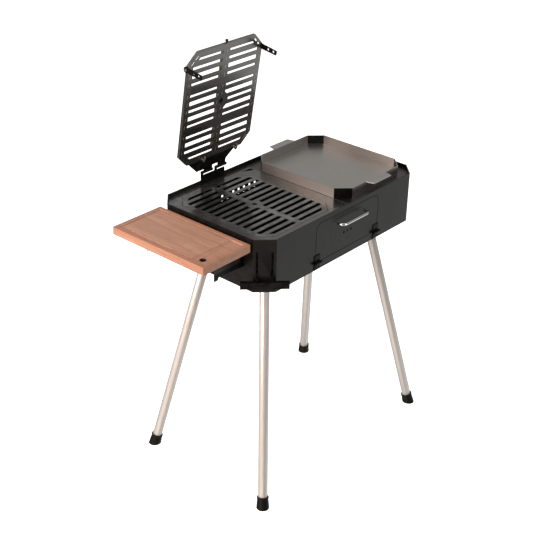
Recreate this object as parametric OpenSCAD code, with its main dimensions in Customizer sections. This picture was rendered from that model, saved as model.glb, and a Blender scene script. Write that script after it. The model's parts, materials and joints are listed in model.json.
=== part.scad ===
// Portable charcoal grill on four splayed legs: a shallow chamfered firebox with
// a drop-down door, a slotted grate under a hinged lid grate, a lift-off griddle,
// a charcoal tray that is raised by bars at two corners, and a wooden side board.
//
// Frame: millimetres, +Z up, the door faces -Y, the board is on the -X side.
// The origin is on the floor, under the middle of the whole object's footprint box.

/* [Firebox] */
// Width of the firebox, left to right
box_w = 600; // [580:5:640]
// Depth of the firebox, front to back
box_d = 360; // [350:5:390]
// Height of the firebox walls
box_h = 138; // [132:1:150]
// Corner chamfer of the firebox
box_chamfer = 38; // [32:1:44]
// Height of the top rim above the floor
rim_z = 740; // [700:5:800]
// Depth of the grates below the rim
grate_recess = 10; // [8:1:14]

/* [Legs] */
// Diameter of the leg tubes
leg_dia = 25; // [20:1:28]
// Wall of the leg tubes
leg_wall = 1.5; // [1:0.5:3]
// Distance of a leg's top from the firebox centre, sideways
leg_top_x = 204; // [180:2:215]
// Distance of a leg's top from the firebox centre, front to back
leg_top_y = 93; // [80:1:100]
// Distance of a foot from the firebox centre, sideways
foot_x = 319; // [300:1:330]
// Distance of a foot from the firebox centre, front to back
foot_y = 200; // [190:1:210]

/* [Grates] */
// Width of the removable grate insert
insert_w = 253; // [245:1:255]
// Depth of the removable grate insert
insert_d = 306; // [296:2:310]
// Number of slot rows in each grate, an odd number
slot_rows = 13; // [9:2:13]
// Pitch of the slot rows in the insert
slot_pitch = 22.9; // [20:0.1:23]
// Thickness of the grate plates
grate_t = 3; // [2:0.5:4]

/* [Lid grate] */
// Width of the lid grate
lid_w = 256; // [246:1:258]
// Length of the lid grate, hinge side to free side
lid_h = 305; // [295:1:308]
// Angle of the open lid above the horizontal, as it stands at rest
lid_open = 80.75; // [60:0.25:90]
// Length of the two fold-out spacer legs of the lid
spacer_len = 52; // [46:1:56]

/* [Griddle] */
// Width of the griddle pan
griddle_w = 257; // [240:1:262]
// Depth of the griddle pan
griddle_d = 306; // [290:2:312]
// Height of the griddle pan
griddle_h = 27; // [20:1:34]

/* [Door] */
// Width of the door
door_w = 244; // [200:2:260]
// Height of the door
door_h = 102; // [90:1:104]
// Sideways place of the door's middle
door_x = 5; // [-10:1:10]

/* [Side board] */
// Width of the cutting board, away from the firebox
board_w = 154; // [130:2:180]
// Length of the cutting board, front to back
board_l = 297; // [260:1:320]
// Thickness of the cutting board
board_t = 20; // [16:1:24]

/* [Hidden] */
$fn = 40;

black_paint = "#3d3d3a";
black_dark = "#24231f";
grate_grey = "#5a5a57";
steel = "#b3b0a8";
leg_cream = "#d9d2c8";
rubber_black = "#232320";
wood = "#cf9a78";
eps = 0.01;

// Sheet thicknesses and gaps
sheet = 2;
thin_sheet = 1.5;
gap = 0.3;
fit = 0.03;

// Heights
floor_z = rim_z - box_h;
grate_z = rim_z - grate_recess;
rail_z = grate_z - grate_t;

// Leg geometry: each leg runs from its top under the floor out to its foot
leg_dx = foot_x - leg_top_x;
leg_dy = foot_y - leg_top_y;
leg_spread = sqrt(leg_dx * leg_dx + leg_dy * leg_dy);
leg_tilt = atan2(leg_spread, floor_z);
leg_turn = atan2(leg_dy, leg_dx);
leg_reach = sqrt(leg_spread * leg_spread + floor_z * floor_z);
socket_len = 44;
socket_wall = 2.5;
foot_len = 30;
foot_top_r = leg_dia / 2 + 1.6;
foot_low_r = leg_dia / 2 + 4;

// The flat bottom of a foot is a cone cut aslant: its long half-axis follows the splay
foot_slope = (foot_low_r - foot_top_r) / foot_len;
foot_half_long = foot_low_r / cos(leg_tilt) / (1 - pow(foot_slope * tan(leg_tilt), 2));
foot_shift = foot_half_long * foot_slope * tan(leg_tilt);
foot_edge_x = foot_x + foot_shift * cos(leg_turn)
    + sqrt(pow(foot_half_long * cos(leg_turn), 2) + pow(foot_low_r * sin(leg_turn), 2));

// Side board and shelf
board_gap = 14;
board_y = 2.5;
board_z = rim_z - 5 - board_t;
board_reach = box_w / 2 + board_gap + board_w;

// The firebox centre, seen from the middle of the footprint box
box_x = (board_reach - foot_edge_x) / 2;

// Grates: the insert sits left of the firebox centre and the griddle right of it
insert_x = -140;
insert_chamfer = 31;
split_x = 18.5;
griddle_x = 148.5;
griddle_chamfer = 33;
lift_clear = 0.4;

// Shallow round recess in the middle disc of each slotted grate
disc_recess_d = 14;
disc_recess_depth = 0.8;

// Lid hinge: its axis lies along X just above the rear rim
hinge_y = box_d / 2 - 6.9;
hinge_z = rim_z + 24;
lid_x = -110;
lid_gap = 40;
lid_chamfer = 30;
lid_t = 2;
lid_rim_h = 6;
bracket_x0 = -148;
bracket_x1 = -62;
barrel_r = 4;
pin_r = 2;

// Door and its hinges
door_z = floor_z + 21;
door_t = sheet - gap;
door_gap = 1.2;
door_hinge_dx = 118;
door_axis_y = -box_d / 2 - 4.6;
door_axis_z = door_z - 1;

// Charcoal tray and its lifter slots in two opposite chamfers
tray_gap = 5;
tray_z = floor_z + 30;
tray_h = 28;
lift_slot_z = floor_z + 40;
lift_slot_h = 66;
lift_slot_dx = 18;
lug_t = 3.6;
lug_h = 10;

// Middle of a chamfer, from the firebox centre
chamfer_mid_x = box_w / 2 - box_chamfer / 2;
chamfer_mid_y = box_d / 2 - box_chamfer / 2;

// ---------- Helpers ----------

module at_box() {
    translate([box_x, 0, 0])
        children();
}

// Rectangle with chamfered corners, centred
module octagon(w, d, c) {
    polygon([
        [-w / 2 + c, -d / 2], [w / 2 - c, -d / 2], [w / 2, -d / 2 + c], [w / 2, d / 2 - c],
        [w / 2 - c, d / 2], [-w / 2 + c, d / 2], [-w / 2, d / 2 - c], [-w / 2, -d / 2 + c]
    ]);
}

// The firebox outline, pulled in all round by one distance
module box_outline(inset) {
    octagon(box_w - 2 * inset, box_d - 2 * inset, box_chamfer - inset * (2 - sqrt(2)));
}

// Rectangle with two rounded upper corners
module door_outline(w, h, r) {
    translate([-w / 2, 0])
        square([w, h - r]);
    translate([-w / 2 + r, 0])
        square([w - 2 * r, h]);
    for (side = [-1, 1])
        translate([side * (w / 2 - r), h - r])
            circle(r = r);
}

// Straight slot with round ends, standing upright
module upright_slot(w, h) {
    translate([-w / 2, -h / 2 + w / 2])
        square([w, h - w]);
    for (end = [-1, 1])
        translate([0, end * (h / 2 - w / 2)])
            circle(d = w, $fn = 24);
}

// A flat plate standing in the X-Z plane, from an outline drawn in X and Z
module wall_plate(y0, t) {
    translate([0, y0 + t, 0])
        rotate([90, 0, 0])
            linear_extrude(t)
                children();
}

// A cylinder along X between two places
module x_rod(x0, x1, r) {
    translate([x0, 0, 0])
        rotate([0, 90, 0])
            cylinder(h = x1 - x0, r = r);
}

// Puts children on the frame of one chamfer: X along the chamfer, -Y straight out of its face
module at_chamfer(side) {
    translate([side * chamfer_mid_x, side * chamfer_mid_y, 0])
        rotate([0, 0, side < 0 ? -45 : 135])
            children();
}

// Puts children on a leg's frame: origin at the leg's top, +Z down along the leg
module at_leg(sx, sy) {
    at_box()
        translate([sx * leg_top_x, sy * leg_top_y, floor_z])
            rotate([0, 0, atan2(sy * leg_dy, sx * leg_dx)])
                rotate([0, 180 - leg_tilt, 0])
                    children();
}

// Puts children on the lid's frame: hinge axis along X, -Y towards the free side,
// +Z out of the lid's top when it lies closed
module at_lid() {
    at_box()
        translate([0, hinge_y, hinge_z])
            rotate([-lid_open, 0, 0])
                children();
}

// ---------- Firebox ----------

module firebox_walls() {
    color(black_paint)
        at_box()
            difference() {
                translate([0, 0, floor_z])
                    linear_extrude(box_h)
                        difference() {
                            box_outline(0);
                            box_outline(sheet);
                        }
                // Door opening
                wall_plate(-box_d / 2 - 1, sheet + 2)
                    translate([door_x, door_z - door_gap])
                        door_outline(door_w + 2 * door_gap, door_h + 2 * door_gap, 18 + door_gap);
                // Row of air vents in the rear wall
                wall_plate(box_d / 2 - sheet - 1, sheet + 2)
                    for (i = [-3:3])
                        translate([i * 21 - 5, floor_z + 66])
                            upright_slot(8, 26);
                // Two upright slots for the tray lifters in each of two opposite chamfers
                for (side = [-1, 1])
                    at_chamfer(side)
                        for (dx = [-1, 1])
                            translate([dx * lift_slot_dx, 0, lift_slot_z + lift_slot_h / 2])
                                cube([lug_t + 1.4, 3 * sheet, lift_slot_h], center = true);
            }
}

module firebox_floor() {
    color(black_dark)
        at_box()
            translate([0, 0, floor_z])
                linear_extrude(sheet)
                    difference() {
                        box_outline(sheet);
                        for (i = [-4:4])
                            translate([i * 36, 0])
                                upright_slot(8, 70);
                    }
}

// Angle rail on the front or rear wall that carries the grates
module grate_rail(x0, x1, side) {
    leg_w = 12;
    leg_h = 15;
    wall_in = box_d / 2 - sheet;
    color(black_dark)
        at_box()
            translate([x0, 0, rail_z])
                mirror([0, side > 0 ? 0 : 1, 0]) {
                    translate([0, wall_in - leg_w, -sheet])
                        cube([x1 - x0, leg_w, sheet]);
                    translate([0, wall_in - sheet, -leg_h])
                        cube([x1 - x0, sheet, leg_h - sheet + eps]);
                }
}

module centre_beam() {
    beam_w = 12;
    beam_h = 10;
    color(black_dark)
        at_box()
            translate([split_x - beam_w / 2, -box_d / 2 + sheet + 12, rail_z - beam_h])
                difference() {
                    cube([beam_w, box_d - 2 * sheet - 24, beam_h]);
                    translate([-1, -1, -1])
                        cube([beam_w - sheet + 1, box_d, beam_h - sheet + 1]);
                }
}

// ---------- Grates ----------

// Slot rows of a grate: two columns beside a spine, cut off along an inner octagon
module slot_field(w, d, c, margin, spine, boss_r, rows) {
    difference() {
        intersection() {
            for (row = rows)
                translate([-w / 2, row[0] - row[1] / 2])
                    square([w, row[1]]);
            octagon(w - 2 * margin, d - 2 * margin + 4, c - margin * (2 - sqrt(2)) + 2);
        }
        square([spine, d], center = true);
        circle(r = boss_r);
    }
}

module grate_insert() {
    half = (slot_rows - 1) / 2;
    color(grate_grey)
        at_box()
            translate([insert_x, 0, rail_z + gap])
                difference() {
                    linear_extrude(grate_t - gap)
                        difference() {
                            octagon(insert_w, insert_d, insert_chamfer);
                            slot_field(insert_w, insert_d, insert_chamfer, 13, 16, 21,
                                [for (i = [-half:half]) [i * slot_pitch, slot_pitch * 0.51]]);
                        }
                    translate([0, 0, grate_t - gap - disc_recess_depth])
                        cylinder(h = 2, d = disc_recess_d);
                }
}

module grate_frame() {
    clear = 0.7;
    color(grate_grey)
        at_box() {
            translate([0, 0, rail_z])
                linear_extrude(grate_t)
                    difference() {
                        intersection() {
                            box_outline(sheet + 0.5);
                            translate([-box_w, -box_d])
                                square([box_w + split_x, 2 * box_d]);
                        }
                        translate([insert_x, 0])
                            octagon(insert_w + 2 * clear, insert_d + 2 * clear, insert_chamfer);
                        // Finger hole beside the insert's rear corner
                        polygon([[-17, 156], [15, 156], [15, 141]]);
                        // Notch for the hinge bracket
                        translate([bracket_x0 - 1, box_d / 2 - sheet - 2.6])
                            square([bracket_x1 - bracket_x0 + 2, 5]);
                    }
            // Tabs under the opening that carry the insert
            for (sx = [-1, 1])
                for (y = [-90, 0, 90])
                    translate([insert_x + sx * (insert_w / 2 - 1) - 8, y - 7, rail_z - sheet])
                        cube([16, 14, sheet]);
        }
}

module griddle_ledge() {
    color(steel)
        at_box()
            translate([0, 0, rail_z])
                linear_extrude(grate_t)
                    difference() {
                        intersection() {
                            box_outline(sheet + 0.5);
                            translate([split_x + 0.6, -box_d])
                                square([box_w, 2 * box_d]);
                        }
                        translate([griddle_x + 2, 0])
                            octagon(griddle_w - 36, griddle_d - 36, griddle_chamfer - 8);
                    }
}

module griddle_pan() {
    color(steel)
        at_box()
            translate([griddle_x, 0, grate_z + lift_clear])
                difference() {
                    linear_extrude(griddle_h)
                        octagon(griddle_w, griddle_d, griddle_chamfer);
                    translate([0, 0, 2.5])
                        linear_extrude(griddle_h)
                            octagon(griddle_w - 4, griddle_d - 4, griddle_chamfer - 2 * (2 - sqrt(2)));
                }
}

// Lift tab folded out at the top of the pan's front or rear wall
module griddle_handle(side) {
    reach = 22;
    half_w = 42;
    color(steel)
        at_box()
            translate([griddle_x, side * griddle_d / 2, grate_z + lift_clear + griddle_h - sheet])
                mirror([0, side > 0 ? 0 : 1, 0])
                    linear_extrude(sheet)
                        polygon([[-half_w, 0], [half_w, 0], [half_w - 6, reach], [-half_w + 6, reach]]);
}

// ---------- Charcoal tray ----------

module charcoal_tray() {
    outer = sheet + tray_gap;
    color(black_dark)
        at_box()
            translate([0, 0, tray_z])
                difference() {
                    linear_extrude(tray_h)
                        box_outline(outer);
                    translate([0, 0, thin_sheet])
                        linear_extrude(tray_h)
                            box_outline(outer + thin_sheet);
                    // Air slots in the bottom
                    translate([0, 0, -1])
                        linear_extrude(thin_sheet + 2)
                            for (i = [-8:8])
                                for (j = [-1, 1])
                                    translate([i * 30, j * 70])
                                        upright_slot(6, 90);
                }
}

// Handle bar outside a chamfer, with two lugs that reach through the slots to the tray
module lifter(side) {
    bar_l = 116;
    bar_h = 17;
    bar_z = floor_z + 16;
    stand_off = 12;
    color(black_dark)
        at_box()
            at_chamfer(side) {
                translate([-bar_l / 2, -stand_off - sheet, bar_z])
                    cube([bar_l, sheet, bar_h]);
                translate([-bar_l / 2, -stand_off - eps, bar_z + bar_h - sheet])
                    cube([bar_l, 8, sheet]);
                for (dx = [-1, 1])
                    translate([dx * lift_slot_dx - lug_t / 2, 0, 0])
                        rotate([90, 0, 90])
                            linear_extrude(lug_t)
                                polygon([
                                    [-stand_off - eps, bar_z], [-stand_off - eps, bar_z + bar_h],
                                    [-2.5, lift_slot_z + lug_h + 1],
                                    [sheet + tray_gap, lift_slot_z + lug_h + 1],
                                    [sheet + tray_gap, lift_slot_z + 1],
                                    [-4, lift_slot_z + 1], [-4, bar_z + bar_h - 4], [-8, bar_z]
                                ]);
            }
}

// ---------- Door ----------

module door_panel() {
    color(black_paint)
        at_box()
            wall_plate(-box_d / 2, door_t)
                difference() {
                    translate([door_x, door_z])
                        door_outline(door_w, door_h, 18);
                    // Three round air holes
                    for (i = [-1:1])
                        translate([door_x + i * 14, door_z + 44])
                            circle(d = 6);
                }
}

// Bow handle: a round bar whose ends bend back to the door
module door_handle() {
    half = 52;
    bend = 12;
    bar_r = 3.2;
    reach = 18;
    color("#e8e8e6")
        at_box()
            translate([door_x + 11, -box_d / 2, door_z + 78]) {
                translate([0, -reach, 0])
                    x_rod(-half + bend, half - bend, bar_r);
                for (side = [-1, 1])
                    mirror([side < 0 ? 1 : 0, 0, 0]) {
                        translate([half - bend, -reach + bend, 0])
                            rotate([0, 0, -90])
                                rotate_extrude(angle = 90)
                                    translate([bend, 0])
                                        circle(r = bar_r);
                        translate([half, 0, 0])
                            rotate([90, 0, 0])
                                cylinder(h = reach - bend, r = bar_r);
                    }
            }
}

// One knuckle of the door hinge, with a leaf that lies on the outer face above or below it
module door_knuckle(x0, x1, leaf_z0, leaf_z1, leaf_x0, leaf_x1) {
    translate([0, door_axis_y, door_axis_z])
        difference() {
            x_rod(x0, x1, barrel_r);
            x_rod(x0 - 1, x1 + 1, pin_r);
        }
    translate([leaf_x0, -box_d / 2 - sheet, leaf_z0])
        cube([leaf_x1 - leaf_x0, sheet, leaf_z1 - leaf_z0]);
}

module door_hinge_leaves() {
    color(black_dark)
        at_box()
            for (side = [-1, 1])
                translate([door_x + side * (door_hinge_dx - 1), 0, 0])
                    difference() {
                        union() {
                            for (end = [-1, 1])
                                door_knuckle(end * 7.5 - 3.2, end * 7.5 + 3.2, door_axis_z, door_z + 20,
                                    end * 7.5 - 3.2, end * 7.5 + 3.2);
                            translate([-10.7, -box_d / 2 - sheet, door_z + 5])
                                cube([21.4, sheet, 15]);
                        }
                        translate([0, door_axis_y, door_axis_z])
                            x_rod(-20, 20, pin_r + fit);
                    }
}

module body_hinge_leaves() {
    color(black_dark)
        at_box()
            for (side = [-1, 1])
                translate([door_x + side * (door_hinge_dx - 1), 0, 0])
                    difference() {
                        union() {
                            door_knuckle(-3.9, 3.9, floor_z + 3, door_axis_z, -3.9, 3.9);
                            translate([-10.7, -box_d / 2 - sheet, floor_z + 3])
                                cube([21.4, sheet, 12]);
                        }
                        translate([0, door_axis_y, door_axis_z])
                            x_rod(-20, 20, pin_r);
                    }
}

module door_hinge_pins() {
    color(steel)
        at_box()
            for (side = [-1, 1])
                translate([door_x + side * (door_hinge_dx - 1), door_axis_y, door_axis_z]) {
                    x_rod(-12.5, 12.5, pin_r);
                    for (end = [-1, 1])
                        x_rod(end * 12.5 - 1, end * 12.5 + 1, pin_r + 1);
                }
}

// ---------- Lid hinge ----------

// Plate on the inside of the rear wall with two uprights that carry hinge barrels
module hinge_bracket() {
    wall_in = box_d / 2 - sheet;
    upright_w = 8;
    right_upright = -98;
    top_z = hinge_z - 10;
    color(black_dark)
        at_box()
            difference() {
                union() {
                    translate([bracket_x0, wall_in - sheet, rail_z - 34])
                        cube([bracket_x1 - bracket_x0, sheet, top_z - rail_z + 34]);
                    for (x0 = [bracket_x0, right_upright]) {
                        translate([x0, wall_in - sheet, top_z - eps])
                            cube([upright_w, sheet, hinge_z - top_z + 1]);
                        translate([0, hinge_y, hinge_z])
                            x_rod(x0, x0 + upright_w, barrel_r);
                    }
                }
                translate([0, hinge_y, hinge_z])
                    x_rod(bracket_x0 - 1, bracket_x1 + 1, pin_r);
            }
}

module hinge_bracket_rivets() {
    head_r = 3.5;
    color(steel)
        at_box()
            for (x = [bracket_x0 + 12, bracket_x1 - 12])
                for (z = [rail_z - 10, rail_z - 25])
                    translate([x, 0, z])
                        rotate([-90, 0, 0]) {
                            translate([0, 0, box_d / 2])
                                cylinder(h = 1.5, r1 = head_r, r2 = 2);
                            translate([0, 0, box_d / 2 - 2 * sheet - 1.5])
                                cylinder(h = 1.5, r1 = 2, r2 = head_r);
                        }
}

module lid_hinge_pins() {
    color(steel)
        at_box()
            translate([0, hinge_y, hinge_z]) {
                x_rod(bracket_x0 - 1, -110.5, pin_r);
                x_rod(-98, bracket_x1 + 1, pin_r);
                x_rod(bracket_x0 - 2.5, bracket_x0, pin_r + 1.2);
                x_rod(bracket_x1 + gap, bracket_x1 + 2.5, pin_r + 1.2);
            }
}

// ---------- Lid grate ----------

lid_mid = -lid_gap - lid_h / 2;
// Centre lines of the slot rows: three groups with wider bars between them
lid_row_y = [0, 20.3, 40.6, 71, 91.6, 112.3, 133.4];
// Slot heights from the middle row outwards
lid_row_h = [7.5, 11.5, 6.5, 7, 11.5, 7.5, 6];
lid_rows = [for (i = [-6:6]) [sign(i) * lid_row_y[abs(i)], lid_row_h[abs(i)]]];
lid_spine = 23;
lid_margin = 16.5;

module lid_outline(inset) {
    translate([lid_x, lid_mid])
        octagon(lid_w - 2 * inset, lid_h - 2 * inset, lid_chamfer - inset * (2 - sqrt(2)));
}

module lid_plate() {
    color(grate_grey)
        at_lid()
            difference() {
                translate([0, 0, -lid_t / 2])
                    linear_extrude(lid_t)
                        difference() {
                            lid_outline(0);
                            translate([lid_x, lid_mid]) {
                                slot_field(lid_w, lid_h, lid_chamfer, lid_margin, lid_spine, 24, lid_rows);
                                // Slots along the chamfers of the free side
                                for (sx = [-1, 1])
                                    for (k = [-1, 1])
                                        translate([sx * (lid_w / 2 - 21), -lid_h / 2 + 21])
                                            rotate([0, 0, sx * 45])
                                                translate([k * 8.5, 0])
                                                    square([12, 4], center = true);
                                // Slot along the right chamfer of the hinge side
                                translate([lid_w / 2 - 20, lid_h / 2 - 20])
                                    rotate([0, 0, -45])
                                        square([16, 4], center = true);
                            }
                        }
                translate([lid_x, lid_mid, -lid_t / 2 - 1])
                    cylinder(h = 1 + disc_recess_depth, d = disc_recess_d);
            }
}

// Low rim around the lid, open at the hinge side
module lid_rim() {
    color(grate_grey)
        at_lid()
            translate([0, 0, lid_t / 2])
                linear_extrude(lid_rim_h)
                    difference() {
                        lid_outline(0);
                        lid_outline(sheet);
                        translate([lid_x - 98, -lid_gap - 4])
                            square([196, 8]);
                    }
}

module lid_stiffener() {
    color(grate_grey)
        at_lid()
            translate([lid_x - lid_spine / 2 + 1, -lid_gap - lid_h + 12, lid_t / 2])
                cube([3, lid_h - 40, 8]);
}

// Tab ends that stand proud on the lid's underside: one row on the spine and one on each margin
module lid_tabs() {
    tab_l = 8;
    tab_w = 1.8;
    proud = 0.6;
    // The middle tab stands beside the recess in the disc
    middle_x = -15;
    color(steel)
        at_lid()
            for (row = lid_rows)
                for (x = abs(row[0]) > 120 ? [0] : [-lid_w / 2 + 8, 0, lid_w / 2 - 8])
                    translate([lid_x + (x == 0 && row[0] == 0 ? middle_x : x), lid_mid + row[0], 0])
                        translate([0, 0, -lid_t / 2 - proud])
                            linear_extrude(proud)
                                square([tab_w, tab_l], center = true);
}

module lid_hinge_plate() {
    color(black_dark)
        at_lid()
            difference() {
                union() {
                    translate([0, 0, lid_t / 2])
                        linear_extrude(sheet)
                            difference() {
                                polygon([
                                    [-205, -52], [-205, -44], [-167, -7.5], [-139.6, -7.5], [-139.6, -3.2],
                                    [-62, -3.2], [-62, -15], [-31, -40], [-31, -52]
                                ]);
                                // Gap between the two lid knuckles
                                translate([-110.5, -11])
                                    square([21, 12]);
                            }
                    x_rod(-139.6, -111, barrel_r);
                    x_rod(-89.6, -62, barrel_r);
                    translate([-139.6, -4, 0])
                        cube([28.6, 2, lid_t / 2 + eps]);
                    translate([-89.6, -4, 0])
                        cube([27.6, 2, lid_t / 2 + eps]);
                }
                x_rod(-150, -50, pin_r + fit);
            }
}

// Two J-shaped hooks under the hinge plate, opening towards the free side
module lid_hooks() {
    color(steel)
        at_lid()
            for (x = [-158, -42])
                translate([x, 0, 0])
                    rotate([90, 0, 90])
                        linear_extrude(2.5)
                            polygon([
                                [-47, -lid_t / 2], [-40.5, -lid_t / 2], [-38, -11], [-47, -14.5],
                                [-55, -14.5], [-55, -10.5], [-48, -10.5], [-44, -8]
                            ]);
}

module lid_knob() {
    color(black_dark)
        at_lid()
            translate([lid_x, -lid_gap - lid_h, lid_t / 2 + lid_rim_h / 2])
                rotate([90, 0, 0]) {
                    cylinder(h = 3, r = 2);
                    translate([0, 0, 3 - eps])
                        cylinder(h = 4.5, r = 3.6);
                }
}

spacer_y = -lid_gap - lid_h + lid_chamfer + 9;
spacer_n = lid_t / 2 + lid_rim_h / 2;

// Spacer leg of the lid: a flat bar with two holes that folds against the lid's rim
module spacer_leg(side) {
    bar_t = 2.5;
    root_r = 8;
    root_half = 6.8;
    tip_half = 6;
    x_in = lid_w / 2 + gap;
    color(black_dark)
        at_lid()
            translate([lid_x, spacer_y, spacer_n])
                mirror([side < 0 ? 1 : 0, 0, 0])
                    difference() {
                        union() {
                            x_rod(x_in, x_in + bar_t, root_r);
                            translate([x_in, 0, 0])
                                rotate([90, 0, 90])
                                    linear_extrude(bar_t)
                                        polygon([
                                            [-root_half, 3], [root_half, 3],
                                            [tip_half, -spacer_len], [-tip_half, -spacer_len]
                                        ]);
                        }
                        x_rod(x_in - 1, x_in + bar_t + 1, pin_r + fit);
                        for (z = [-25, -42])
                            translate([0, 0, z])
                                x_rod(x_in - 1, x_in + bar_t + 1, 3);
                    }
}

module spacer_pivot(side) {
    color(steel)
        at_lid()
            translate([lid_x, spacer_y, spacer_n])
                mirror([side < 0 ? 1 : 0, 0, 0]) {
                    x_rod(lid_w / 2, lid_w / 2 + 4.4, pin_r);
                    x_rod(lid_w / 2 + 3.1, lid_w / 2 + 4.4, 3.2);
                }
}

// ---------- Side board and shelf ----------

module cutting_board() {
    groove_in = 12;
    groove_w = 5;
    groove_depth = 3;
    well_l = 38;
    x_mid = -box_w / 2 - board_gap - board_w / 2;
    color(wood)
        at_box()
            translate([x_mid, board_y, board_z])
                difference() {
                    translate([-board_w / 2, -board_l / 2, 0])
                        cube([board_w, board_l, board_t]);
                    translate([0, 0, board_t - groove_depth])
                        linear_extrude(groove_depth + 1)
                            difference() {
                                square([board_w - 2 * groove_in, board_l - 2 * groove_in], center = true);
                                translate([0, well_l / 2 - groove_w / 2])
                                    square([
                                        board_w - 2 * groove_in - 2 * groove_w,
                                        board_l - 2 * groove_in - groove_w - well_l
                                    ], center = true);
                            }
                    // Round hole near the front outer corner
                    translate([-board_w / 2 + 31, -board_l / 2 + 31, -1])
                        cylinder(h = board_t + 2, d = 15);
                }
}

shelf_x0 = -box_w / 2 - 98;
shelf_x1 = -box_w / 2 - 12.5;
shelf_y = 113;
shelf_z = board_z - 38;

// Folded pan that the board lies on
module shelf_tray() {
    color(black_paint)
        at_box()
            translate([shelf_x0, -shelf_y, shelf_z])
                difference() {
                    cube([shelf_x1 - shelf_x0, 2 * shelf_y, 38 - gap]);
                    translate([thin_sheet, thin_sheet, thin_sheet])
                        cube([shelf_x1 - shelf_x0 - 2 * thin_sheet, 2 * shelf_y - 2 * thin_sheet, 40]);
                }
}

// Arm under one end of the pan: an upright leg on the wall, a bar under the pan, a tab at its end
module shelf_arm(side) {
    arm_t = 3;
    wall_x = -box_w / 2;
    color(black_dark)
        at_box()
            mirror([0, side > 0 ? 0 : 1, 0]) {
                wall_plate(shelf_y - arm_t, arm_t)
                    polygon([
                        [wall_x, shelf_z + 36], [wall_x, shelf_z - 15], [shelf_x0 + 14, shelf_z - 11],
                        [shelf_x0 + 10, shelf_z - 18], [shelf_x0, shelf_z - 18], [shelf_x0, shelf_z],
                        [shelf_x1, shelf_z], [shelf_x1, shelf_z + 36]
                    ]);
                translate([wall_x - sheet, shelf_y - arm_t - 18, shelf_z - 14])
                    cube([sheet, 18 + eps, 50]);
            }
}

module shelf_rivets() {
    color(steel)
        at_box()
            for (side = [-1, 1])
                for (z = [shelf_z - 4, shelf_z + 26])
                    translate([-box_w / 2 - sheet, side * (shelf_y - 13), z])
                        rotate([0, -90, 0])
                            cylinder(h = 1.8, r1 = 3.8, r2 = 2.2);
}

// ---------- Legs ----------

module leg_socket(sx, sy) {
    color(black_dark)
        difference() {
            union() {
                at_leg(sx, sy)
                    cylinder(h = socket_len, r = leg_dia / 2 + socket_wall);
                at_box()
                    translate([sx * leg_top_x, sy * leg_top_y, floor_z - 3])
                        linear_extrude(3)
                            octagon(64, 64, 14);
            }
            at_leg(sx, sy)
                translate([0, 0, 10])
                    cylinder(h = socket_len, r = leg_dia / 2 + fit);
            at_box()
                translate([sx * leg_top_x, sy * leg_top_y, floor_z + 25])
                    cube([100, 100, 50], center = true);
        }
}

module socket_rivets() {
    color(steel)
        at_box()
            for (sx = [-1, 1])
                for (sy = [-1, 1])
                    for (a = [45:90:315])
                        translate([sx * leg_top_x, sy * leg_top_y, floor_z - 3])
                            rotate([0, 0, a])
                                translate([30, 0, -1.6])
                                    cylinder(h = 1.6, r1 = 2, r2 = 3.2);
}

module leg_tube(sx, sy) {
    start = 10;
    stop = leg_reach - 9;
    color(leg_cream)
        at_leg(sx, sy)
            difference() {
                translate([0, 0, start])
                    cylinder(h = stop - start, d = leg_dia);
                translate([0, 0, start + 4])
                    cylinder(h = stop - start, d = leg_dia - 2 * leg_wall);
            }
}

module rubber_foot(sx, sy) {
    color(rubber_black)
        difference() {
            at_leg(sx, sy)
                difference() {
                    translate([0, 0, leg_reach - foot_len])
                        cylinder(
                            h = foot_len + 10, r1 = foot_top_r,
                            r2 = foot_top_r + (foot_len + 10) * foot_slope
                        );
                    translate([0, 0, leg_reach - foot_len - 1])
                        cylinder(h = foot_len - 8, r = leg_dia / 2);
                }
            at_box()
                translate([sx * foot_x, sy * foot_y, -50])
                    cube([100, 100, 100], center = true);
        }
}

// ---------- Nodes ----------

firebox_walls();
firebox_floor();
grate_rail(-255, 255, -1);  // grate_rail_front
grate_rail(-255, bracket_x0 - 1, 1);  // grate_rail_rear_left
grate_rail(bracket_x1 + 1, 255, 1);  // grate_rail_rear_right
centre_beam();
grate_frame();
griddle_ledge();
grate_insert();
griddle_pan();
griddle_handle(-1);  // griddle_handle_front
griddle_handle(1);  // griddle_handle_rear
charcoal_tray();
lifter(-1);  // lifter_front
lifter(1);  // lifter_rear
door_panel();
door_handle();
door_hinge_leaves();
body_hinge_leaves();
door_hinge_pins();
hinge_bracket();
hinge_bracket_rivets();
lid_hinge_pins();
lid_hinge_plate();
lid_plate();
lid_rim();
lid_stiffener();
lid_tabs();
lid_hooks();
lid_knob();
spacer_leg(-1);  // spacer_leg_left
spacer_leg(1);  // spacer_leg_right
spacer_pivot(-1);  // spacer_pivot_left
spacer_pivot(1);  // spacer_pivot_right
cutting_board();
shelf_tray();
shelf_arm(-1);  // shelf_arm_front
shelf_arm(1);  // shelf_arm_rear
shelf_rivets();
leg_socket(-1, -1);  // leg_socket_front_left
leg_socket(1, -1);  // leg_socket_front_right
leg_socket(-1, 1);  // leg_socket_rear_left
leg_socket(1, 1);  // leg_socket_rear_right
socket_rivets();
leg_tube(-1, -1);  // leg_front_left
leg_tube(1, -1);  // leg_front_right
leg_tube(-1, 1);  // leg_rear_left
leg_tube(1, 1);  // leg_rear_right
rubber_foot(-1, -1);  // foot_front_left
rubber_foot(1, -1);  // foot_front_right
rubber_foot(-1, 1);  // foot_rear_left
rubber_foot(1, 1);  // foot_rear_right
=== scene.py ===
"""Looks of the portable charcoal grill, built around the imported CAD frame.

Metres, +Z up, and the door faces -Y.
"""

import json
import math

import bmesh
import bpy
from mathutils import Matrix, Vector


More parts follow.
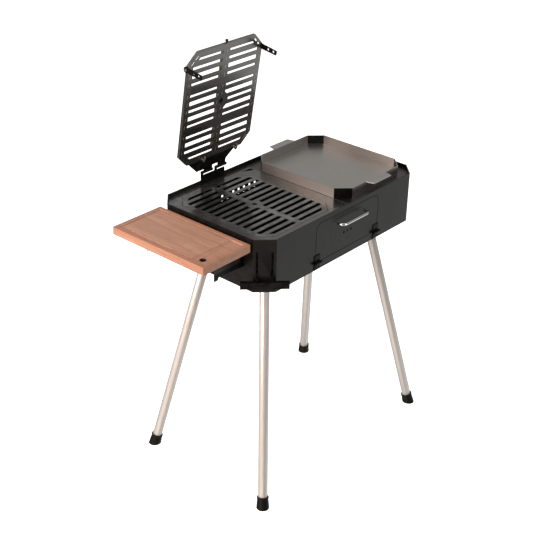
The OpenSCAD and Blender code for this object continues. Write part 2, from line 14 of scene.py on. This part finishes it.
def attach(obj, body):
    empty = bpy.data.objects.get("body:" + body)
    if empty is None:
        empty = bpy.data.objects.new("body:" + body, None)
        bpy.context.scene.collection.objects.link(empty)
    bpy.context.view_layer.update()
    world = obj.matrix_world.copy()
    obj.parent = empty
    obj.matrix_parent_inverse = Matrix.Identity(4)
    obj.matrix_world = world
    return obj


MM = 0.001
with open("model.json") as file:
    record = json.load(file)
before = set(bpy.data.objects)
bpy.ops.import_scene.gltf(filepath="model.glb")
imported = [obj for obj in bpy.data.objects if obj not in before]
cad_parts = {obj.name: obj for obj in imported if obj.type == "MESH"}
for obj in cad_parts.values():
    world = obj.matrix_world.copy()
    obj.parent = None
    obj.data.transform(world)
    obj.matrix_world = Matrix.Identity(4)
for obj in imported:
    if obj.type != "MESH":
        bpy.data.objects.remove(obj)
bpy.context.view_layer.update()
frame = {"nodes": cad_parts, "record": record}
nodes = frame["nodes"]


# ---------- Shader helpers ----------

def put(tree, socket, value):
    """Links another node's output to a socket, or sets its plain value."""
    if isinstance(value, bpy.types.NodeSocket):
        tree.links.new(value, socket)
    else:
        socket.default_value = value


class Shader:
    """A short way to write one procedural material on a Principled shader."""

    def __init__(self, name, metallic=0.0, roughness=0.5):
        self.material = bpy.data.materials.new(name)
        self.material.use_nodes = True
        self.tree = self.material.node_tree
        self.bsdf = self.tree.nodes["Principled BSDF"]
        self.set(Metallic=metallic, Roughness=roughness)
        self.places = self.tree.nodes.new("ShaderNodeTexCoord").outputs
        self.coords = self.places["Object"]

    def set(self, **inputs):
        for key, value in inputs.items():
            put(self.tree, self.bsdf.inputs[key.replace("_", " ")], value)
        return self

    def node(self, kind, **inputs):
        made = self.tree.nodes.new(kind)
        for key, value in inputs.items():
            put(self.tree, made.inputs[key.replace("_", " ")], value)
        return made

    def arithmetic(self, kind, operation, *values, result=0):
        """One step of arithmetic, on numbers or on vectors."""
        made = self.tree.nodes.new(kind)
        made.operation = operation
        for socket, value in zip(made.inputs, values):
            put(self.tree, socket, value)
        return made.outputs[result]

    def scalar(self, operation, *values):
        return self.arithmetic("ShaderNodeMath", operation, *values)

    def vector(self, operation, *values, result=0):
        return self.arithmetic("ShaderNodeVectorMath", operation, *values, result=result)

    def facing(self, axis):
        """How squarely the surface faces along one of the object's axes."""
        return self.node("ShaderNodeSeparateXYZ", Vector=self.places["Normal"]).outputs[axis]

    def stretched(self, scale):
        """Object coordinates, scaled by a different amount along each axis."""
        return self.node("ShaderNodeMapping", Vector=self.coords, Scale=scale).outputs["Vector"]

    def noise(self, vector, scale, detail=4.0, roughness=0.5, distortion=0.0):
        made = self.node(
            "ShaderNodeTexNoise", Vector=vector, Scale=scale, Detail=detail,
            Roughness=roughness, Distortion=distortion,
        )
        return made.outputs["Fac"]

    def ramp(self, factor, *stops):
        """A colour ramp from (place, colour or grey level) stops."""
        made = self.node("ShaderNodeValToRGB", Fac=factor)
        band = made.color_ramp
        while len(band.elements) < len(stops):
            band.elements.new(0.5)
        for element, (place, value) in zip(band.elements, stops):
            element.position = place
            element.color = (value, value, value, 1) if isinstance(value, float) else (*value, 1)
        return made.outputs["Color"]

    def fade(self, value, start, full, most=1.0):
        """Grows from 0 where the value is at start to most where it is at full."""
        return self.node(
            "ShaderNodeMapRange", Value=value, From_Min=start, From_Max=full, To_Max=most,
        ).outputs["Result"]

    def mix(self, factor, a, b, blend="MIX"):
        made = self.tree.nodes.new("ShaderNodeMix")
        made.data_type = "RGBA"
        made.blend_type = blend
        for place, value in ((0, factor), (6, a), (7, b)):
            put(self.tree, made.inputs[place], (*value, 1) if isinstance(value, tuple) else value)
        return made.outputs[2]

    def bump(self, height, distance, strength):
        made = self.node("ShaderNodeBump", Height=height, Distance=distance, Strength=strength)
        return self.set(Normal=made.outputs["Normal"])

    def streaks(self, along, across):
        """Brushing that runs level on every face: along Y on faces turned to X, else along X."""
        turned = self.scalar("ABSOLUTE", self.facing("X"))
        along_x = self.noise(self.stretched((along, across, across)), 1.0, detail=2.0)
        along_y = self.noise(self.stretched((across, along, across)), 1.0, detail=2.0)
        return self.mix(self.ramp(turned, (0.55, 0.0), (0.6, 1.0)), along_x, along_y)

    def slanted(self):
        """White on upright faces turned half way between X and Y, black on the others: the mask for
        painted dark reflection.
        """
        turned = self.scalar("MULTIPLY", self.facing("X"), self.facing("Y"))
        return self.ramp(self.scalar("ABSOLUTE", turned), (0.34, 0.0), (0.44, 1.0))


def edge_wear(shader):
    """White along the outer edges of a piece and black elsewhere, broken up by noise."""
    pointed = shader.tree.nodes.new("ShaderNodeNewGeometry").outputs["Pointiness"]
    worn = shader.ramp(pointed, (0.52, 0.0), (0.58, 1.0))
    patches = shader.ramp(shader.noise(shader.coords, 60.0), (0.42, 0.0), (0.62, 1.0))
    return shader.mix(1.0, worn, patches, "MULTIPLY")


# ---------- Materials ----------

def powder_coat(name, colour, shine, rough=0.32):
    """Satin powder coat: a fine orange-peel skin, slightly uneven gloss and paler worn edges."""
    s = Shader(name)
    cloud = s.noise(s.coords, 9.0, detail=3.0)
    dark = tuple(c * 0.86 for c in colour)
    light = tuple(c * 1.12 for c in colour)
    base = s.ramp(cloud, (0.35, dark), (0.65, light))
    worn = s.mix(edge_wear(s), base, tuple(c * 1.9 + 0.006 for c in colour))
    gloss = s.ramp(s.noise(s.coords, 22.0, detail=5.0), (0.3, rough - 0.03), (0.7, rough + 0.04))
    s.set(Base_Color=worn, Roughness=gloss, Specular_IOR_Level=shine)
    return s.bump(s.noise(s.coords, 2600.0, detail=2.0), 0.00002, 0.25).material


def seasoned_steel(name, colour):
    """Dark oiled grate steel: a soft metal sheen, faintly drawn, with browner heat patches."""
    s = Shader(name, metallic=0.92)
    drawn = s.streaks(1.5, 140)
    base = s.ramp(drawn, (0.3, tuple(c * 0.94 for c in colour)), (0.7, tuple(c * 1.06 for c in colour)))
    heat = s.ramp(s.noise(s.coords, 11.0, detail=4.0), (0.5, 0.0), (0.75, 0.5))
    warm = (colour[0] * 0.92, colour[1] * 0.78, colour[2] * 0.68)
    s.set(Base_Color=s.mix(edge_wear(s), s.mix(heat, base, warm), tuple(c * 1.7 for c in colour)))
    return s.set(Roughness=s.ramp(drawn, (0.3, 0.21), (0.7, 0.24))).material


def brushed_steel(name, colour, rough=0.37, along=1.2, across=120, corners=1.0):
    """Satin steel with level brushing, faint smears, a brown heat tint, and a painted dark reflection on
    slanted corner faces, set by corners.
    """
    s = Shader(name, metallic=1.0)
    brush = s.streaks(along, across)
    smear = s.noise(s.coords, 5.0, detail=3.0, distortion=0.6)
    base = s.ramp(brush, (0.25, tuple(c * 0.95 for c in colour)), (0.75, tuple(c * 1.05 for c in colour)))
    tint = (colour[0] * 0.90, colour[1] * 0.82, colour[2] * 0.78)
    tone = s.mix(s.ramp(smear, (0.45, 0.0), (0.8, 0.4)), base, tint)
    # Painted reflection: slanted corner faces take colour * corners, standing in for the dark surroundings
    # they mirror.
    tone = s.mix(s.slanted(), tone, tuple(c * corners for c in colour))
    s.set(Base_Color=tone)
    return s.set(Roughness=s.ramp(smear, (0.3, rough - 0.02), (0.7, rough + 0.03))).material


def polished_chrome():
    """Chrome with a trace of uneven polish."""
    s = Shader("chrome", metallic=1.0)
    haze = s.noise(s.coords, 40.0, detail=4.0)
    s.set(Base_Color=s.ramp(haze, (0.3, (0.80, 0.80, 0.80)), (0.7, (0.90, 0.90, 0.89))))
    s.set(Roughness=s.ramp(haze, (0.3, 0.06), (0.7, 0.14)))
    return s.bump(s.noise(s.coords, 900.0, detail=1.0), 0.000004, 0.3).material


def satin_aluminium():
    """Anodised tube: fine drawing marks along its length, which is nearly upright."""
    s = Shader("leg_tube", metallic=0.42)
    drawn = s.noise(s.stretched((150, 150, 1)), 1.0, detail=1.5)
    s.set(Base_Color=s.ramp(drawn, (0.3, (0.70, 0.695, 0.665)), (0.7, (0.75, 0.745, 0.72))))
    return s.set(Roughness=s.ramp(drawn, (0.3, 0.32), (0.7, 0.35))).material


def moulded_rubber():
    """Black rubber with a fine matt grain and dusty scuffs."""
    s = Shader("foot_rubber")
    scuff = s.ramp(s.noise(s.coords, 55.0, detail=6.0, roughness=0.7), (0.55, 0.0), (0.8, 0.4))
    tone = s.mix(scuff, (0.0035, 0.0038, 0.0033), (0.014, 0.0142, 0.013))
    rough = s.ramp(s.noise(s.coords, 30.0), (0.3, 0.42), (0.7, 0.6))
    s.set(Base_Color=tone, Roughness=rough, Specular_IOR_Level=0.22)
    return s.bump(s.noise(s.coords, 1500.0, detail=2.0), 0.00004, 0.5).material


def hardwood():
    """Oiled hardwood: growth bands along the board, fine pores, slow drift, a darker stained border and
    painted shade inside the hole.
    """
    s = Shader("board_wood")
    bands = s.noise(s.stretched((60, 4, 60)), 1.0, detail=5.0, roughness=0.6, distortion=0.6)
    pores = s.noise(s.stretched((420, 26, 420)), 1.0, detail=4.0, roughness=0.65)
    drift = s.noise(s.stretched((9, 3, 9)), 1.0, detail=3.0)
    tone = s.ramp(
        bands, (0.28, (0.36, 0.180, 0.116)), (0.5, (0.46, 0.250, 0.166)), (0.74, (0.56, 0.325, 0.222)),
    )
    tone = s.mix(s.ramp(drift, (0.4, 0.0), (0.75, 0.5)), tone, (0.43, 0.198, 0.118))
    tone = s.mix(s.ramp(pores, (0.32, 0.6), (0.46, 0.0)), tone, (0.25, 0.104, 0.060))
    corners = [Vector(corner) for corner in nodes["cutting_board"].bound_box]
    middle, half = (corners[0] + corners[6]) / 2, (corners[6] - corners[0]) / 2
    inwards = s.vector("ABSOLUTE", s.vector("SUBTRACT", s.coords, middle))
    place = s.node("ShaderNodeSeparateXYZ", Vector=inwards)
    top = s.fade(s.facing("Z"), 0.5, 0.9)
    border = 20 * MM
    for axis, reach in (("X", half.x), ("Y", half.y)):
        edge = s.fade(place.outputs[axis], reach - border, reach - 1 * MM, most=0.6)
        tone = s.mix(s.mix(1.0, edge, top, "MULTIPLY"), tone, (0.35, 0.142, 0.080))
    # Painted shade: the hole's wall and a thin lip round it are painted near black, standing in for the
    # shade inside the hole.
    hole = next(mount for mount in frame["record"]["mounts"] if mount["name"] == "board_hole")
    radius = hole["dims"]["r_mm"] * MM
    level = s.vector("MULTIPLY", s.vector("SUBTRACT", s.coords, hole["pos_m"]), (1, 1, 0))
    hole_painted_shade = s.fade(s.vector("LENGTH", level, result=1), radius + 1.6 * MM, radius + 0.3 * MM)
    tone = s.mix(hole_painted_shade, tone, (0.020, 0.010, 0.007))
    s.set(Base_Color=tone, Roughness=s.ramp(bands, (0.3, 0.38), (0.7, 0.5)))
    return s.bump(s.mix(0.6, bands, pores), 0.00012, 0.4).material


MATERIALS = {
    "black": powder_coat("firebox_coat", (0.0064, 0.0062, 0.0057), shine=0.31),
    "dark": powder_coat("dark_coat", (0.0026, 0.0025, 0.0024), rough=0.34, shine=0.12),
    "grate": seasoned_steel("grate_steel", (0.185, 0.183, 0.178)),
    # corners=0.10 paints the griddle's slanted corner faces near black, a painted dark reflection.
    "griddle": brushed_steel("griddle_steel", (0.46, 0.440, 0.420), corners=0.10),
    "ledge": brushed_steel("ledge_steel", (0.12, 0.106, 0.098), rough=0.36),
    "zinc": brushed_steel("fastener_zinc", (0.50, 0.48, 0.45), rough=0.32, along=300, across=300),
    "chrome": polished_chrome(),
    "leg": satin_aluminium(),
    "foot": moulded_rubber(),
    "wood": hardwood(),
}


# ---------- CAD nodes: material and softened edges ----------

def soften(piece, width):
    """Joins the split corners of an imported mesh and rounds its sharp edges."""
    weld = piece.modifiers.new("weld", "WELD")
    weld.merge_threshold = 0.00001
    bevel = piece.modifiers.new("edge", "BEVEL")
    bevel.width = width
    bevel.segments = 2
    bevel.limit_method = "ANGLE"
    bevel.angle_limit = math.radians(35)


EDGE_WIDTH = {
    "cutting_board": 1.6 * MM,
    "firebox_walls": 0.4 * MM,
    "griddle_pan": 0.45 * MM,
}


def dress_cad_nodes():
    for part in frame["record"]["subparts"]:
        piece = nodes[part["node"]]
        piece.data.materials.clear()
        piece.data.materials.append(MATERIALS[part["material_slot"]])
        soften(piece, EDGE_WIDTH.get(part["node"], 0.3 * MM))


dress_cad_nodes()


# ---------- Pieces that the CAD frame leaves plain ----------

BOX_X = 65.968 * MM
LID_OPEN = math.radians(80.75)
LID_PIN = Vector((BOX_X - 110 * MM, 173.1 * MM, 764 * MM))
LEG_TOP = Vector((204, 93, 602)) * MM
LEG_FOOT = Vector((319, 200, 0)) * MM
COLLAR_UP = 25 * MM
INSERT_DISC = Vector((BOX_X - 140 * MM, 0, 729.22 * MM))
LID_DISC_REACH = 192.5 * MM
LID_RECESS_FLOOR = 0.22 * MM


def lathe(name, outline, slot, body, place, turn, steps=48):
    """A turned piece from (radius, height) pairs, turned and set on a body."""
    mesh = bmesh.new()
    rings = []
    for radius, height in outline:
        if radius:
            ring = [
                mesh.verts.new((radius * math.cos(angle), radius * math.sin(angle), height))
                for angle in (2 * math.pi * step / steps for step in range(steps))
            ]
        else:
            ring = [mesh.verts.new((0, 0, height))] * steps
        rings.append(ring)
    for low, high in zip(rings, rings[1:]):
        for step in range(steps):
            corners = [low[step - 1], low[step], high[step], high[step - 1]]
            mesh.faces.new(sorted(set(corners), key=corners.index))
    bmesh.ops.remove_doubles(mesh, verts=mesh.verts, dist=1e-7)
    bmesh.ops.recalc_face_normals(mesh, faces=mesh.faces)
    data = bpy.data.meshes.new(name)
    mesh.to_mesh(data)
    mesh.free()
    for face in data.polygons:
        face.use_smooth = True
    data.materials.append(MATERIALS[slot])
    piece = bpy.data.objects.new(name, data)
    piece.matrix_world = Matrix.Translation(place) @ turn
    bpy.context.scene.collection.objects.link(piece)
    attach(piece, body)
    return piece


def cap_discs():
    """The dark discs in the shallow recesses of the grate insert and of the lid's underside."""
    radius, height = 6.7 * MM, 0.6 * MM
    outline = [
        (0, 0), (radius, 0), (radius, height * 0.5), (radius - 0.25 * MM, height * 0.85),
        (radius - 0.8 * MM, height), (radius * 0.62, height), (radius * 0.55, height * 0.6),
        (0, height * 0.6),
    ]
    lathe("insert_disc", outline, "dark", "insert", INSERT_DISC, Matrix.Identity(4))
    across = Vector((0, -math.cos(LID_OPEN), math.sin(LID_OPEN)))
    outward = Vector((0, -math.sin(LID_OPEN), -math.cos(LID_OPEN)))
    place = LID_PIN + across * LID_DISC_REACH + outward * LID_RECESS_FLOOR
    lathe("lid_disc", outline, "dark", "lid", place, Matrix.Rotation(math.pi - LID_OPEN, 4, "X"))


def foot_collars():
    """The moulded step round the top of each rubber foot."""
    outline = [(radius * MM, height * MM) for radius, height in (
        (12.7, 0), (15.1, 0), (15.5, 0.8), (15.5, 3.6), (15.1, 4.8), (14.2, 5.5), (12.7, 5.6), (12.7, 0),
    )]
    for x_name, x_side in (("left", -1), ("right", 1)):
        for y_name, y_side in (("front", -1), ("rear", 1)):
            side = Vector((x_side, y_side, 1))
            low = LEG_FOOT * side
            up = (LEG_TOP * side - low).normalized()
            place = low + Vector((BOX_X, 0, 0)) + up * COLLAR_UP
            turn = Vector((0, 0, 1)).rotation_difference(up).to_matrix().to_4x4()
            lathe(f"foot_collar_{y_name}_{x_name}", outline, "foot", "firebox", place, turn)


cap_discs()
foot_collars()


# ---------- Stage, light and camera ----------

def set_the_stage(name, material, colour, glow):
    """Dresses the newest piece as stage, and keeps it out of reflections and bounced light."""
    s = Shader(material, roughness=0.9)
    s.set(Base_Color=(colour, colour, colour, 1), Emission_Color=(1, 1, 1, 1), Emission_Strength=glow)
    piece = bpy.context.object
    piece.name = name
    piece.visible_glossy = False
    piece.visible_diffuse = False
    piece.data.materials.append(s.material)


def stage():
    """A plain white floor and backdrop."""
    radius = 30
    bpy.ops.mesh.primitive_circle_add(vertices=64, radius=radius, fill_type="NGON")
    set_the_stage("stage_floor", "stage_white", 0.9, 0.97)
    bpy.ops.mesh.primitive_uv_sphere_add(segments=48, ring_count=24, radius=radius)
    bpy.context.object.visible_shadow = False
    set_the_stage("stage_backdrop", "stage_glow", 0.0, 1.0)


def area_light(name, place, target, size, power, colour=(1, 1, 1)):
    data = bpy.data.lights.new(name, "AREA")
    data.shape = "RECTANGLE"
    data.size, data.size_y = size
    data.energy = power
    data.color = colour
    light = bpy.data.objects.new(name, data)
    light.location = place
    light.rotation_euler = (Vector(target) - Vector(place)).to_track_quat("-Z", "Y").to_euler()
    bpy.context.scene.collection.objects.link(light)


def surroundings():
    """The room in reflections: dark, with a warm glow low at the board's side, neutral ones behind
    on the right, low in front on the right, and straight below."""
    world = bpy.data.worlds.new("studio")
    world.use_nodes = True
    tree = world.node_tree
    way = tree.nodes.new("ShaderNodeTexCoord").outputs["Generated"]

    def glow(middle, start, full, colour):
        """Light that grows from start to full, which are cosines from its middle direction."""
        facing = tree.nodes.new("ShaderNodeVectorMath")
        facing.operation = "DOT_PRODUCT"
        facing.inputs[1].default_value = Vector(middle).normalized()
        tree.links.new(way, facing.inputs[0])
        ramp = tree.nodes.new("ShaderNodeValToRGB")
        ramp.color_ramp.interpolation = "EASE"
        tree.links.new(facing.outputs["Value"], ramp.inputs["Fac"])
        near, far = ramp.color_ramp.elements
        near.position, near.color = start, (0, 0, 0, 1)
        far.position, far.color = full, (*colour, 1)
        return ramp.outputs["Color"]

    total = (0.06, 0.06, 0.06, 1)
    for part in (
        glow((0.50, 0.62, 0.60), 0.10, 0.90, (0.38, 0.38, 0.37)),
        glow((-0.85, -0.10, -0.50), 0.66, 0.97, (0.86, 0.69, 0.59)),
        glow((0.66, -0.42, -0.62), 0.70, 0.98, (0.72, 0.72, 0.71)),
        glow((0.0, 0.0, -1.0), 0.25, 0.90, (0.36, 0.36, 0.35)),
    ):
        added = tree.nodes.new("ShaderNodeMix")
        added.data_type = "RGBA"
        added.blend_type = "ADD"
        for place, value in ((0, 1.0), (6, total), (7, part)):
            put(tree, added.inputs[place], value)
        total = added.outputs[2]
    tree.links.new(total, tree.nodes["Background"].inputs["Color"])
    bpy.context.scene.world = world


def lights():
    """A warm softbox on the board's side, a neutral one in front on the right, and one above."""
    middle = (0, 0, 0.75)
    area_light("side", (-2.4, 0.28, 1.38), middle, (2.6, 2.0), 100, (1.0, 0.83, 0.75))
    area_light("front", (0.7, -2.6, 2.2), middle, (1.8, 1.8), 38)
    area_light("top", (-0.1, 0.3, 3.2), middle, (2.6, 2.6), 16)


def camera():
    """The camera looks down at the front left corner."""
    azimuth, elevation, roll = math.radians(-48.70), math.radians(28.498), math.radians(0.926)
    distance = 2.872
    target = Vector((-0.02569, 0.0, 0.53628))
    back = Vector((
        math.sin(azimuth) * math.cos(elevation), -math.cos(azimuth) * math.cos(elevation),
        math.sin(elevation),
    ))
    right = (-back).cross(Vector((0, 0, 1))).normalized()
    up = right.cross(-back)
    x_axis = right * math.cos(roll) + up * math.sin(roll)
    y_axis = up * math.cos(roll) - right * math.sin(roll)
    data = bpy.data.cameras.new("camera")
    data.sensor_width = 36
    data.lens = 75.52
    made = bpy.data.objects.new("camera", data)
    turn = Matrix((x_axis, y_axis, back)).transposed().to_4x4()
    made.matrix_world = Matrix.Translation(target + back * distance) @ turn
    bpy.context.scene.collection.objects.link(made)
    bpy.context.scene.camera = made


camera()
stage()
lights()
surroundings()
bpy.context.scene.view_settings.view_transform = "Standard"
